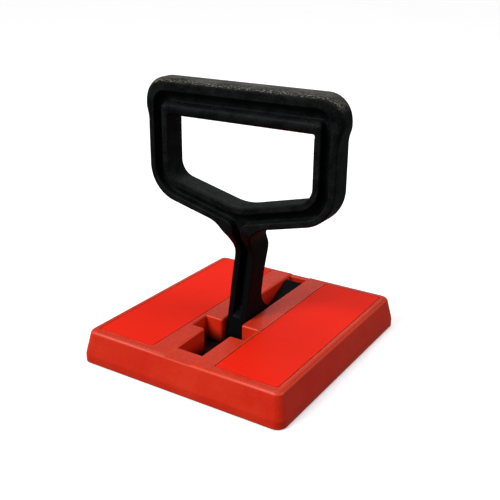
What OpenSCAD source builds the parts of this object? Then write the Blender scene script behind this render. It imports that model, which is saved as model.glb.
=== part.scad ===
// Magnetic hand lifter: a flat moulded base with a magnet pack under each label panel and a
// central slot, and a D handle on a cross pin whose tail levers the base off the steel.
// Origin: centre of the working face. X across the slot, Y along the slot to the rear, +Z up.

/* [Base] */
// Width of the base, across the slot
base_w = 130; // [122:1:170]
// Length of the base, along the slot
base_l = 141; // [134:1:190]
// Height of the base above the work
base_h = 19.3; // [18:0.1:26]
// Height of the upright band at the foot of the base's sides
skirt_h = 5; // [3:0.5:8]
// How far the sides lean in from the band to the top
side_draft = 3.2; // [1:0.1:4]
// Rounding of the base's top edge
rim_r = 2.6; // [1:0.1:3]
// Corner radius of the base in plan
corner_r = 5.5; // [3:0.5:9]

/* [Slot] */
// Width of the slot behind the notch
slot_w = 13.2; // [11:0.1:16]
// Width of the channel in front of the notch
channel_w = 16.8; // [14:0.2:20]
// Front edge of the cross notch, ahead of the base's centre
notch_front = 30; // [26:0.5:34]
// Rear edge of the cross notch, ahead of the base's centre
notch_rear = 16; // [15.5:0.5:18]
// Width of the cross notch
notch_w = 34.8; // [24:0.2:36]
// Length of the lowered shelf from the base's front
shelf_l = 15.6; // [10:0.2:20]
// Drop of the shelf and of the rear lip below the rib tops
shelf_drop = 1.2; // [0.8:0.1:3]
// Thickness of the rear lip
rear_lip = 6.2; // [5:0.2:8]
// Thickness of the channel floor above the working face plate
channel_floor = 2; // [1.5:0.1:3]

/* [Labels] */
// Distance of a label's inner edge from the centre
label_in = 20.2; // [19:0.1:24]
// Margin from a label's outer edge to the base's foot
label_margin = 7.2; // [6.5:0.1:10]
// Margin from a label's ends to the base's foot
label_end = 7.9; // [7:0.1:10]
// Thickness of a label
label_t = 0.6; // [0.3:0.1:0.8]
// Gap around a label in its recess
label_gap = 0.45; // [0.1:0.05:0.5]

/* [Magnets] */
// Thickness of a magnet
magnet_t = 10; // [8:0.5:10.5]
// Width of the tray's rim and bars beside the magnets
tray_bar = 2.2; // [1.5:0.1:3]
// Thickness of the steel plate above the magnets
yoke_t = 3; // [2:0.5:3.5]
// Thickness of the wall between a magnet pack and the base's foot
pack_wall = 7.4; // [7:0.1:10]
// Gap around the trays and the magnets
pack_gap = 0.15; // [0.1:0.05:0.3]

/* [Working face plate] */
// Thickness of the stainless plate
plate_t = 1; // [0.8:0.1:1.5]
// Margin from the plate's edge to the base's foot
plate_margin = 2.4; // [2:0.1:4]
// How far the plate stands below the moulding
plate_proud = 0.3; // [0.1:0.1:0.5]
// Shank diameter of the plate's screws
face_screw_d = 2.5; // [2:0.1:3]
// Head diameter of the plate's screws
face_head_d = 4.7; // [4:0.1:5]
// Length of the plate's screws
face_screw_l = 9; // [6:0.5:11]

/* [Handle] */
// Height of the handle's top above the work
handle_top = 153; // [140:1:190]
// Width of the D below the grip
handle_w = 117.2; // [105:0.5:150]
// Width of the D at the grip's ends
grip_w = 122; // [109:0.5:157]
// Depth of the D, front to back
handle_d = 14.3; // [12:0.1:20]
// Distance of the D's front face ahead of the base's centre
handle_front = 11.7; // [10:0.1:12.5]
// Width of the D's band at its sides and bottom
band_w = 12.75; // [11:0.25:16]
// Width of the flange on each side of the band's groove
flange_w = 3.9; // [3:0.1:4.5]
// Thickness of the web between the front and back grooves
web_t = 4; // [3:0.5:6]
// Height of the grip bar, from the window to the top
grip_h = 20.5; // [16:0.5:24]
// Height of the grip bar's two flanges
grip_flange = 7.3; // [6:0.1:7.5]
// Rise of the D's bottom from its centre, in degrees
bottom_rise = 14; // [8:1:18]
// Height of the D's lowest point, where its two lower edges meet
bottom_z = 72.9; // [68:0.5:80]
// Gap between the leg and each wall of the slot
leg_gap = 0.4; // [0.3:0.05:0.6]
// Width of the leg's grooves
leg_groove = 5; // [4:0.1:6]
// Lean of the leg's front, in degrees
leg_lean = 12.5; // [8:0.5:15]
// Height where the leg meets the D's underside
leg_top = 58.5; // [55:0.5:62]
// Radius of the flare where the leg widens into the D
flare_r = 16; // [10:0.5:18]

/* [Pivot] */
// Height of the pivot above the work
pivot_z = 9.5; // [9:0.1:10.5]
// Distance of the pivot ahead of the base's centre
pivot_front = 4.5; // [3:0.1:5]
// Diameter of the pivot pin
pin_d = 6; // [5:0.5:7]
// Radial running clearance of the bush on the pin
pin_run = 0.04; // [0.02:0.01:0.08]
// Outer diameter of the bush in the foot
bush_d = 9; // [8:0.5:10]
// Clearance of the foot above the work
sole_gap = 1; // [0.8:0.1:1.5]
// Outer diameter of the friction washers
washer_d = 13; // [11:0.5:14]
// Thickness of the friction washers
washer_t = 1.5; // [1:0.1:1.8]
// Gap between a friction washer and the foot
washer_gap = 0.1; // [0.05:0.05:0.2]
// Length of a pin cap, along the slot
cap_l = 18; // [17:0.5:20]
// Width of a pin cap, across the slot
cap_w = 8; // [7:0.5:8.5]
// Distance of a cap's screws from the pin
cap_pitch = 6.3; // [6:0.1:7]
// Shank diameter of the cap screws
cap_screw_d = 2.5; // [2:0.1:2.5]
// Head diameter of the cap screws
cap_head_d = 4.4; // [4:0.1:4.6]
// Length of the cap screws, head included
cap_screw_l = 12; // [9:0.5:14]

/* [Tail] */
// Distance of the tail's tip behind the pivot
tail_l = 64; // [56:0.5:64.5]
// Height of the tail's tip above the work
tail_tip_z = 18.8; // [16:0.1:19]
// Thickness of the tail at its tip
tail_t = 6.5; // [5:0.5:8]
// Distance of the heel behind the pivot
heel_l = 38.5; // [32:0.5:42]

/* [Hidden] */
$fn = 64;

eps = 0.02;
left = -1;
right = 1;
arc_step = 10;
fit_gap = 0.15;
screw_gap = 0.05;
head_sink = 0.05;
pin_gap = 0.05;
mould_w = 2.6;

// Base
slot_rear = base_l / 2 - rear_lip;
shelf_in = base_l / 2 - shelf_l;
label_w = base_w / 2 - label_margin - label_in;
label_l = base_l - 2 * label_end;
label_x = label_in + label_w / 2;
plate_w = base_w - 2 * plate_margin;
plate_l = base_l - 2 * plate_margin;
slot_open_front = pivot_front + pivot_z - sole_gap + 2;

// Magnet packs: the plate, the magnets in their tray and the yoke lie on each other
pack_in = label_in + fit_gap;
pack_w = base_w / 2 - pack_wall - pack_in;
pack_l = base_l - 2 * pack_wall - 1.2;
pack_x = pack_in + pack_w / 2;
magnet_z = plate_t + 0.1;
yoke_z = magnet_z + magnet_t;
pack_top = yoke_z + yoke_t;
magnet_count = 3;
tray_w = pack_w - 2 * pack_gap;
tray_l = pack_l - 2 * pack_gap;
magnet_w = tray_w - 2 * tray_bar - 2 * pack_gap;
cell_l = (tray_l - (magnet_count + 1) * tray_bar) / magnet_count;
magnet_l = cell_l - 2 * pack_gap;

// Pivot
leg_w = slot_w - 2 * leg_gap;
pivot_y = -pivot_front;
foot_r = pivot_z - sole_gap;
washer_x = leg_w / 2 + washer_gap;
washer_seat = washer_x + washer_t;
cap_x = washer_seat + 1.2;
cap_mid = cap_x + cap_w / 2;
cap_z = plate_t + 0.1;
pin_l = 2 * (cap_x + cap_w - 0.6);
cap_head_t = 1.8;

// Screws of the face plate: along both long edges and beside the slot
edge_screw_x = base_w / 2 - pack_wall / 2 - 1;
edge_screw_y = base_l * 0.32;
mid_screw_x = slot_w / 2 + 7.4;
mid_front_y = -(notch_front + shelf_in) / 2;
mid_rear_y = slot_rear - 15;
face_head_t = plate_t - 2 * head_sink;

// Handle
handle_y0 = -handle_front;
handle_y1 = handle_d - handle_front;
lower_z = function(x, up) bottom_z + up / cos(bottom_rise) + x * tan(bottom_rise);
window_w = handle_w - 2 * band_w;
window_top = handle_top - grip_h;
groove_depth = (handle_d - web_t) / 2;
corner_top_r = 13.5;
corner_low_r = 21;
window_low_r = corner_low_r - band_w + 2;
window_apex_r = 30;
bulge_z = window_top + 5;
lean = tan(leg_lean);
// Front of the leg: the line that touches the foot's round and leans back as it rises
leg_front = function(z) pivot_y - foot_r / cos(leg_lean) + (z - pivot_z) * lean;
tail_y = pivot_y + tail_l;
heel_y = pivot_y + heel_l;

// A closed outline whose corner i, [x, y, r], is rounded with radius r
function unit(v) = v / norm(v);
function corner_arc(a, b, c, r) =
    let (u = unit([a.x - b.x, a.y - b.y]), v = unit([c.x - b.x, c.y - b.y]),
         half = acos(u * v) / 2, m = [b.x, b.y] + unit(u + v) * r / sin(half),
         s = [b.x, b.y] + u * r / tan(half) - m, e = [b.x, b.y] + v * r / tan(half) - m,
         a0 = atan2(s.y, s.x), turn = atan2(s.x * e.y - s.y * e.x, s * e),
         n = max(2, ceil(abs(turn) / arc_step)))
    [for (i = [0:n]) m + r * [cos(a0 + turn * i / n), sin(a0 + turn * i / n)]];
function rounded(pts) =
    [for (i = [0:len(pts) - 1])
        let (n = len(pts), p = pts[i])
        each p[2] > 0 ? corner_arc(pts[(i + n - 1) % n], p, pts[(i + 1) % n], p[2])
                      : [[p.x, p.y]]];
// Right half of an outline, top to bottom, completed with its mirror image
function both_sides(half) =
    concat(half, [for (i = [len(half) - 1:-1:0]) if (half[i].x > 0) [-half[i].x, half[i].y, half[i][2]]]);

function plan(w, l, r) = rounded([[w / 2, l / 2, r], [-w / 2, l / 2, r], [-w / 2, -l / 2, r], [w / 2, -l / 2, r]]);

module block(x0, x1, y0, y1, z0, z1) translate([x0, y0, z0]) cube([x1 - x0, y1 - y0, z1 - z0]);
module front_view(y0, y1) translate([0, y1, 0]) rotate([90, 0, 0]) linear_extrude(y1 - y0) children();
module side_view(w) translate([-w / 2, 0, 0]) rotate([90, 0, 90]) linear_extrude(w) children();
module across(x0, x1, r) translate([x0, pivot_y, pivot_z]) rotate([0, 90, 0]) cylinder(r = r, h = x1 - x0);
module on_side(s) if (s > 0) children(); else mirror([1, 0, 0]) children();
module face_screw_places() {
    for (x = [-edge_screw_x, edge_screw_x], y = [-edge_screw_y, 0, edge_screw_y]) translate([x, y, 0]) children();
    for (x = [-mid_screw_x, mid_screw_x], y = [mid_front_y, mid_rear_y]) translate([x, y, 0]) children();
}
module cap_screw_places(s) {
    for (y = [-cap_pitch, cap_pitch]) translate([s * cap_mid, pivot_y + y, cap_z]) children();
}

// Base moulding
function side_profile(w) =
    both_sides([[w / 2 - side_draft, base_h, rim_r], [w / 2, skirt_h, 8], [w / 2, plate_proud, 0.4]]);
module base_body() {
    intersection() {
        linear_extrude(base_h) polygon(plan(base_w, base_l, corner_r));
        front_view(-base_l / 2, base_l / 2) polygon(rounded(side_profile(base_w)));
        side_view(base_w) polygon(rounded(side_profile(base_l)));
    }
}
module slot_cuts() {
    half = base_l / 2;
    block(-slot_w / 2, slot_w / 2, -notch_rear - eps, slot_rear, -eps, base_h + eps);
    block(-notch_w / 2, notch_w / 2, -notch_front, -notch_rear, plate_t + channel_floor, base_h + eps);
    block(-channel_w / 2, channel_w / 2, -shelf_in, -notch_rear - eps, plate_t + channel_floor, base_h + eps);
    block(-channel_w / 2, channel_w / 2, -half - eps, -shelf_in + eps, base_h - shelf_drop, base_h + eps);
    block(-slot_w / 2, slot_w / 2, slot_rear - eps, half + eps, base_h - shelf_drop, base_h + eps);
}
module pack_cuts(s) on_side(s) {
    block(pack_in, pack_in + pack_w, -pack_l / 2, pack_l / 2, -eps, pack_top);
    translate([label_x, 0, base_h - label_t]) linear_extrude(label_t + eps)
        polygon(plan(label_w + 2 * label_gap, label_l + 2 * label_gap, 2));
}
module pivot_cuts(s) on_side(s) {
    across(slot_w / 2 - eps, washer_seat, washer_d / 2 + pin_gap);
    across(slot_w / 2 - eps, cap_x + cap_w + fit_gap, pin_d / 2 + pin_gap);
    block(slot_w / 2 - eps, cap_x, pivot_y - pin_d / 2 - pin_gap, pivot_y + pin_d / 2 + pin_gap, -eps, pivot_z);
    block(cap_x - fit_gap, cap_x + cap_w + fit_gap, pivot_y - cap_l / 2 - fit_gap, pivot_y + cap_l / 2 + fit_gap,
        -eps, pivot_z);
}
module rib_cores(s) on_side(s) {
    x0 = slot_w / 2 + mould_w;
    x1 = pack_in - mould_w;
    top = base_h - shelf_drop - mould_w;
    block(x0, x1, mid_rear_y + 5, slot_rear, -eps, top);
    block(x0, x1, pivot_y + cap_l / 2 + mould_w, mid_rear_y - 5, -eps, top);
}
module housing() {
    color("orangered")
    difference() {
        base_body();
        slot_cuts();
        pack_cuts(left);
        pack_cuts(right);
        pivot_cuts(left);
        pivot_cuts(right);
        rib_cores(left);
        rib_cores(right);
        translate([0, 0, -eps]) linear_extrude(plate_t + eps)
            polygon(plan(plate_w + 2 * fit_gap, plate_l + 2 * fit_gap, corner_r - plate_margin / 2));
        face_screw_places() cylinder(d = face_screw_d + 2 * screw_gap, h = face_screw_l + 0.5);
        for (s = [left, right]) cap_screw_places(s) cylinder(d = cap_screw_d + 2 * screw_gap, h = cap_screw_l + 0.5);
    }
}
module label(s) {
    color("red")
    translate([s * label_x, 0, base_h - label_t]) linear_extrude(label_t) polygon(plan(label_w, label_l, 1.7));
}

// Working face: stainless plate and its flush screws
module face_plate() {
    color("silver")
    difference() {
        linear_extrude(plate_t) polygon(plan(plate_w, plate_l, corner_r - plate_margin / 2));
        block(-slot_w / 2 - fit_gap, slot_w / 2 + fit_gap, -slot_open_front, slot_rear + fit_gap, -eps, plate_t + eps);
        face_screw_places() {
            translate([0, 0, head_sink]) face_screw_head(screw_gap);
            translate([0, 0, -eps]) cylinder(d = face_head_d + 2 * screw_gap, h = head_sink + 2 * eps);
            cylinder(d = face_screw_d + 2 * screw_gap, h = plate_t + eps);
        }
    }
}
module face_screw_head(grow)
    cylinder(r1 = face_head_d / 2 + grow, r2 = face_screw_d / 2 + grow, h = face_head_t);
module face_screws() {
    color("dimgray")
    face_screw_places() translate([0, 0, head_sink]) {
        face_screw_head(0);
        translate([0, 0, face_head_t - eps]) cylinder(d = face_screw_d, h = face_screw_l - face_head_t);
    }
}

// Magnet packs
module yoke(s) {
    color("slategray")
    on_side(s) block(pack_x - tray_w / 2, pack_x + tray_w / 2, -tray_l / 2, tray_l / 2, yoke_z, pack_top);
}
function cell_y(i) = (i - (magnet_count - 1) / 2) * (cell_l + tray_bar);
module tray(s) {
    color("ivory")
    on_side(s) difference() {
        block(pack_x - tray_w / 2, pack_x + tray_w / 2, -tray_l / 2, tray_l / 2, magnet_z, yoke_z);
        for (i = [0:magnet_count - 1])
            translate([pack_x, cell_y(i), yoke_z / 2]) cube([tray_w - 2 * tray_bar, cell_l, 2 * yoke_z], center = true);
    }
}
module magnet(s, i) {
    color("darkslategray")
    on_side(s) block(pack_x - magnet_w / 2, pack_x + magnet_w / 2, cell_y(i) - magnet_l / 2, cell_y(i) + magnet_l / 2,
        magnet_z, yoke_z);
}

// Pivot
module pivot_pin() {
    color("silver")
    across(-pin_l / 2, pin_l / 2, pin_d / 2);
}
module pin_cap(s) {
    color("black")
    on_side(s) difference() {
        block(cap_x, cap_x + cap_w, pivot_y - cap_l / 2, pivot_y + cap_l / 2, cap_z, pivot_z - 0.1);
        across(cap_x - eps, cap_x + cap_w + eps, pin_d / 2 + pin_gap);
        cap_screw_places(right) cylinder(d = cap_screw_d + 2 * screw_gap, h = pivot_z);
        cap_screw_places(right) translate([0, 0, -eps]) cylinder(d = cap_head_d + 0.2, h = cap_head_t + 0.1);
    }
}
module cap_screws() {
    color("dimgray")
    for (s = [left, right]) cap_screw_places(s) {
        translate([0, 0, 0.1]) cylinder(d = cap_head_d, h = cap_head_t - 0.1);
        translate([0, 0, cap_head_t - eps]) cylinder(d = cap_screw_d, h = cap_screw_l - cap_head_t);
    }
}
module friction_washer(s) {
    color("gray")
    on_side(s) difference() {
        across(washer_x, washer_seat, washer_d / 2);
        across(washer_x - eps, washer_seat + eps, pin_d / 2 + 0.2);
    }
}
module pivot_bush() {
    color("goldenrod")
    difference() {
        across(-leg_w / 2, leg_w / 2, bush_d / 2);
        across(-leg_w / 2 - eps, leg_w / 2 + eps, pin_d / 2 + pin_run);
    }
}

// Handle: the D in front view, the leg and tail in side view
module d_outline() {
    half_w = handle_w / 2;
    polygon(rounded(both_sides([
        [grip_w / 2, handle_top, corner_top_r], [grip_w / 2, bulge_z, 5], [half_w, bulge_z - 8, 5],
        [half_w, lower_z(half_w, 0), corner_low_r], [0, lower_z(0, 0), 1]])));
}
module d_window() {
    half_w = window_w / 2;
    polygon(rounded(both_sides([
        [half_w, window_top, 2], [half_w, lower_z(half_w, band_w), window_low_r],
        [0, lower_z(0, band_w), window_apex_r]])));
}
module d_groove() {
    out_w = handle_w / 2 - flange_w;
    in_w = window_w / 2 + flange_w;
    difference() {
        polygon(rounded(both_sides([
            [out_w, handle_top - grip_flange, corner_top_r - 5],
            [out_w, lower_z(out_w, flange_w), corner_low_r - flange_w], [0, lower_z(0, flange_w), 1]])));
        polygon(rounded(both_sides([
            [in_w, window_top + grip_flange, 2.5],
            [in_w, lower_z(in_w, band_w - flange_w), window_low_r + flange_w],
            [0, lower_z(0, band_w - flange_w), window_apex_r + flange_w]])));
    }
}
// Leg and its flare into the D, seen from the front
module leg_front_view() {
    half = leg_w / 2;
    polygon(rounded(both_sides([
        [handle_w / 4, lower_z(handle_w / 4, band_w / 2), 0], [handle_w / 4, lower_z(handle_w / 4, 0), 0],
        [half, lower_z(half, 0), flare_r], [half, -eps, 0]])));
}
// Leg, foot and tail, seen from the side: y to the rear, z up
module leg_side_view() {
    d_z = lower_z(0, band_w);
    toe_y = leg_front(sole_gap);
    neck_y = leg_front(leg_top);
    polygon(rounded([
        [handle_y0, d_z, 0], [handle_y0, bottom_z - 1.4, 5], [neck_y, leg_top, 8],
        [toe_y, sole_gap, foot_r], [heel_y, sole_gap, 12],
        [tail_y - 0.5, tail_tip_z - tail_t, 1.5], [tail_y, tail_tip_z, 1.5],
        [heel_y + 1, sole_gap + tail_t + 0.1, 8], [pivot_y + 10.5, pivot_z + 15.7, 12],
        [pivot_y + 13.1, leg_top - 16.5, 40], [pivot_y + 19.4, leg_top + 2, 8],
        [handle_y1, bottom_z + 3.7, 5], [handle_y1, d_z, 0]]));
}
module leg_grooves() {
    groove_low = base_h + 3;
    groove_rear_low = base_h + 12;
    depth = groove_depth;
    neck_y = leg_front(leg_top);
    side_view(leg_groove) polygon(rounded([
        [handle_y0 - 9, lower_z(0, flange_w), 0], [handle_y0 - 9, groove_low, 0], [leg_front(groove_low), groove_low, 0],
        [leg_front(groove_low) + depth, groove_low + depth / 2, 2], [neck_y + depth, leg_top, 8],
        [handle_y0 + depth, bottom_z, 5], [handle_y0 + depth, lower_z(0, flange_w) + 1, 0]]));
    side_view(leg_groove) polygon(rounded([
        [40, groove_rear_low, 0], [40, bottom_z + 6, 0], [handle_y1 - depth, bottom_z + 6, 0],
        [handle_y1 - depth, bottom_z + 2, 5],
        [pivot_y + 19.5 - depth, leg_top + 1, 4], [pivot_y + 13.1 - depth, leg_top - 16.5, 0],
        [pivot_y + 11.8 - depth, groove_rear_low + 3, 2], [pivot_y + 11.8, groove_rear_low, 0]]));
}
module handle() {
    color("#202428")
    difference() {
        union() {
            front_view(handle_y0, handle_y1) difference() {
                d_outline();
                d_window();
            }
            intersection() {
                front_view(-base_l, base_l) leg_front_view();
                side_view(handle_w) leg_side_view();
            }
        }
        front_view(handle_y0 - eps, handle_y0 + groove_depth) d_groove();
        front_view(handle_y1 - groove_depth, handle_y1 + eps) d_groove();
        leg_grooves();
        across(-leg_w, leg_w, bush_d / 2);
    }
}

housing();
label(left);  // label_left
label(right);  // label_right
face_plate();
face_screws();
yoke(left);  // yoke_left
yoke(right);  // yoke_right
tray(left);  // tray_left
tray(right);  // tray_right
magnet(left, 0);  // magnet_left_front
magnet(left, 1);  // magnet_left_middle
magnet(left, 2);  // magnet_left_rear
magnet(right, 0);  // magnet_right_front
magnet(right, 1);  // magnet_right_middle
magnet(right, 2);  // magnet_right_rear
pivot_pin();
pin_cap(left);  // pin_cap_left
pin_cap(right);  // pin_cap_right
cap_screws();
friction_washer(left);  // friction_washer_left
friction_washer(right);  // friction_washer_right
handle();
pivot_bush();
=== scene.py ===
import math
import bmesh
import bpy
import numpy as np
from mathutils import Matrix, Vector


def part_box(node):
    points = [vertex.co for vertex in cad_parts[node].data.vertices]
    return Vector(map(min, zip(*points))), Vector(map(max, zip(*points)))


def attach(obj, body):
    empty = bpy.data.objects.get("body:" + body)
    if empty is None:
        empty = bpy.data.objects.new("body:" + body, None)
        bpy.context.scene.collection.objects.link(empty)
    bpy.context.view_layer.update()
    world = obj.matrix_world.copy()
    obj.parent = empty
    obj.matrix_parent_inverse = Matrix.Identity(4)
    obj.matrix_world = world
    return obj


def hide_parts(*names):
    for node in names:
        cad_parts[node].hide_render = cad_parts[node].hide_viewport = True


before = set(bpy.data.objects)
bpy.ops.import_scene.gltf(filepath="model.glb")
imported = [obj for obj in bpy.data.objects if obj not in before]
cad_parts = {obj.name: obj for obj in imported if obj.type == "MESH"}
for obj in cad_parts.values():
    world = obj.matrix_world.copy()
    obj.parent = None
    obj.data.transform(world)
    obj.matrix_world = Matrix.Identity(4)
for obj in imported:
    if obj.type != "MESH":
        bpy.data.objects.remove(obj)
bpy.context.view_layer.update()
mm = 0.001
print("frame loaded:", len(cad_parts), "nodes")


# ---- small tools; outlines are in millimetres until a mesh is made
def unit(vector):
    return vector / np.linalg.norm(vector)


def smooth(low, high, value):
    share = np.clip((value - low) / (high - low), 0, 1)
    return share * share * (3 - 2 * share)


straightTurn = 0.01


def cornerArc(before, corner, after, radius, steps):
    before, corner, after = (np.array(p, float) for p in (before, corner, after))
    u, v = unit(before - corner), unit(after - corner)
    turn = math.pi - math.acos(np.clip(u @ v, -1, 1))
    share = np.linspace(0, 1, steps + 1)[:, None]
    if turn < straightTurn:  # the outline runs straight on: the points only keep count with its neighbours
        return corner + radius * (u * (1 - share) + v * share)
    reach = radius * math.tan(turn / 2)
    start, end = corner + u * reach, corner + v * reach
    middle = corner + unit(u + v) * radius / math.cos(turn / 2)
    arms = np.sin((1 - share) * turn) * (start - middle) + np.sin(share * turn) * (end - middle)
    return middle + arms / math.sin(turn)


def roundedOutline(corners, closed=True):
    # corners are (across, up, radius, steps); a radius of 0 is a plain point
    count, parts = len(corners), []
    for i, (x, z, radius, steps) in enumerate(corners):
        if radius == 0 or (not closed and i in (0, count - 1)):
            parts.append(np.array([[x, z]]))
        else:
            parts.append(cornerArc(corners[i - 1][:2], (x, z), corners[(i + 1) % count][:2], radius, steps))
    return np.vstack(parts)


def leftNormals(path, closed):
    # unit normals to the left of the way the path runs
    if closed:
        along = np.roll(path, -1, 0) - np.roll(path, 1, 0)
    else:
        along = np.gradient(path, axis=0)
    along /= np.linalg.norm(along, axis=1)[:, None]
    return np.stack([-along[:, 1], along[:, 0]], 1)


def newMesh(name, vertices, faces):
    mesh = bpy.data.meshes.new(name)
    mesh.from_pydata([tuple(v) for v in vertices], [], faces)
    piece = bpy.data.objects.new(name, mesh)
    bpy.context.scene.collection.objects.link(piece)
    return piece


def tidyMesh(piece, mergeDistance):
    bm = bmesh.new()
    bm.from_mesh(piece.data)
    bmesh.ops.remove_doubles(bm, verts=bm.verts, dist=mergeDistance * mm)
    bmesh.ops.dissolve_degenerate(bm, edges=bm.edges, dist=mergeDistance * mm / 10)
    bmesh.ops.recalc_face_normals(bm, faces=bm.faces)
    openEdges = sum(len(e.link_faces) != 2 for e in bm.edges)
    bm.to_mesh(piece.data)
    bm.free()
    if openEdges:
        print("open edges in", piece.name, openEdges)
    return piece


cadTidy = {"mergeDistance": 0.001, "flatAngle": 0.5, "normalWeight": 60}


def cadCopy(node, name):
    # a CAD node's triangles, merged into the flat faces they came from
    piece = bpy.data.objects.new(name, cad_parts[node].data.copy())
    piece.data.materials.clear()
    bpy.context.scene.collection.objects.link(piece)
    bm = bmesh.new()
    bm.from_mesh(piece.data)
    bmesh.ops.remove_doubles(bm, verts=bm.verts, dist=cadTidy["mergeDistance"] * mm)
    flat = math.radians(cadTidy["flatAngle"])
    bmesh.ops.dissolve_limit(bm, angle_limit=flat, verts=bm.verts, edges=bm.edges)
    bm.to_mesh(piece.data)
    bm.free()
    return piece


def applyModifiers(piece):
    bpy.context.view_layer.update()
    evaluated = piece.evaluated_get(bpy.context.evaluated_depsgraph_get())
    mesh = bpy.data.meshes.new_from_object(evaluated)
    piece.modifiers.clear()
    piece.data = mesh
    return piece


def combine(piece, other, operation):
    cut = piece.modifiers.new("cut", "BOOLEAN")
    cut.operation, cut.solver, cut.object = operation, "EXACT", other
    applyModifiers(piece)
    bpy.data.objects.remove(other)
    return piece


def shadeSmooth(piece, angle):
    mesh = piece.data
    mesh.polygons.foreach_set("use_smooth", [True] * len(mesh.polygons))
    mesh.set_sharp_from_angle(angle=math.radians(angle))
    even = piece.modifiers.new("evenNormals", "WEIGHTED_NORMAL")
    even.keep_sharp, even.weight = True, cadTidy["normalWeight"]
    return applyModifiers(piece)


def bevelEdges(piece, width, fromAngle, segments):
    # rounds each outer edge that turns by more than fromAngle degrees
    bm = bmesh.new()
    bm.from_mesh(piece.data)
    layer = bm.edges.layers.float.new("bevel_weight_edge")
    for edge in bm.edges:
        if len(edge.link_faces) == 2:
            turn = math.degrees(edge.calc_face_angle_signed(0))
            edge[layer] = width if turn > fromAngle else 0
    bm.to_mesh(piece.data)
    bm.free()
    bevel = piece.modifiers.new("rounding", "BEVEL")
    bevel.limit_method, bevel.width, bevel.segments = "WEIGHT", 1 * mm, segments
    bevel.use_clamp_overlap, bevel.miter_outer = False, "MITER_SHARP"
    return applyModifiers(piece)


# ---- materials
def addNode(tree, kind, inputs=(), **settings):
    node = tree.nodes.new(kind)
    for key, value in settings.items():
        setattr(node, key, value)
    for socket, value in dict(inputs).items():
        if isinstance(value, bpy.types.NodeSocket):
            tree.links.new(value, node.inputs[socket])
        else:
            node.inputs[socket].default_value = value
    return node


def addRamp(tree, factor, stops):
    ramp = addNode(tree, "ShaderNodeValToRGB", {"Fac": factor})
    elements = ramp.color_ramp.elements
    while len(elements) < len(stops):
        elements.new(0.5)
    for element, (position, value) in zip(elements, stops):
        element.position = position
        element.color = (*value, 1) if isinstance(value, tuple) else (value, value, value, 1)
    return ramp.outputs["Color"]


def newMaterial(name, **values):
    material = bpy.data.materials.new(name)
    material.use_nodes = True
    tree = material.node_tree
    shader = tree.nodes["Principled BSDF"]
    for socket, value in values.items():
        shader.inputs[socket.replace("_", " ")].default_value = value
    where = addNode(tree, "ShaderNodeTexCoord").outputs["Object"]
    return material, tree, shader, where


def addNoise(tree, where, scale, detail, stretch=(1, 1, 1)):
    stretched = addNode(tree, "ShaderNodeMapping", {"Vector": where, "Scale": stretch}).outputs["Vector"]
    settings = {"Vector": stretched, "Scale": scale, "Detail": detail}
    return addNode(tree, "ShaderNodeTexNoise", settings).outputs["Fac"]


def addMix(tree, factor, first, second):
    mix = addNode(tree, "ShaderNodeMix", data_type="RGBA")
    for index, value in ((0, factor), (6, first), (7, second)):
        if isinstance(value, bpy.types.NodeSocket):
            tree.links.new(value, mix.inputs[index])
        else:
            mix.inputs[index].default_value = (*value, 1) if isinstance(value, tuple) else value
    return mix.outputs[2]


def addMath(tree, operation, first, second, limit=False):
    values = {0: first, 1: second}
    return addNode(tree, "ShaderNodeMath", values, operation=operation, use_clamp=limit).outputs[0]


def multiply(tree, first, second):
    return addMath(tree, "MULTIPLY", first, second)


def spanRamp(tree, factor, span, low, high):
    return addRamp(tree, factor, [(span[0], low), (span[1], high)])


edgeFinder = {"gain": 9.0, "samples": 6}


def edgeMask(tree, width):
    # white where the surface turns within this many millimetres
    settings = {"Radius": width * mm}
    rounded = addNode(tree, "ShaderNodeBevel", settings, samples=edgeFinder["samples"]).outputs["Normal"]
    normals = {0: rounded, 1: addNode(tree, "ShaderNodeNewGeometry").outputs["Normal"]}
    same = addNode(tree, "ShaderNodeVectorMath", normals, operation="DOT_PRODUCT").outputs["Value"]
    return addMath(tree, "MULTIPLY", addMath(tree, "SUBTRACT", 1.0, same), edgeFinder["gain"], limit=True)


def fromMask(tree, value, low, soft):
    # rises from black to white just below this many millimetres
    return addNode(tree, "ShaderNodeMapRange", {0: value, 1: (low - soft) * mm, 2: low * mm}).outputs[0]


def spanMask(tree, value, low, high, soft):
    # white where a coordinate lies between low and high, in millimetres
    falling = {0: value, 1: high * mm, 2: (high + soft) * mm, 3: 1.0, 4: 0.0}
    end = addNode(tree, "ShaderNodeMapRange", falling).outputs[0]
    return multiply(tree, fromMask(tree, value, low, soft), end)


plasticFinish = {
    "mottleSpan": (0.36, 0.66), "speckSpan": (0.48, 0.72), "cloudSpan": (0.36, 0.64),
    "glintSpan": (0.5, 0.66), "wearSpan": (0.36, 0.6), "leastWear": 0.1, "roughSpan": (0.3, 0.7),
    "upSpan": (0.45, 0.9), "lineSpan": (0.35, 0.6, 0.85),
    "speckFineness": 0.4, "glintFineness": 12, "roughFineness": 1.7,
    "rubSoft": 1, "plainBelowSoft": 20, "paintedShadeSoft": 0.1, "lowerEdgeShare": 0.25, "bumpDepth": 0.02,
}


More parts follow.
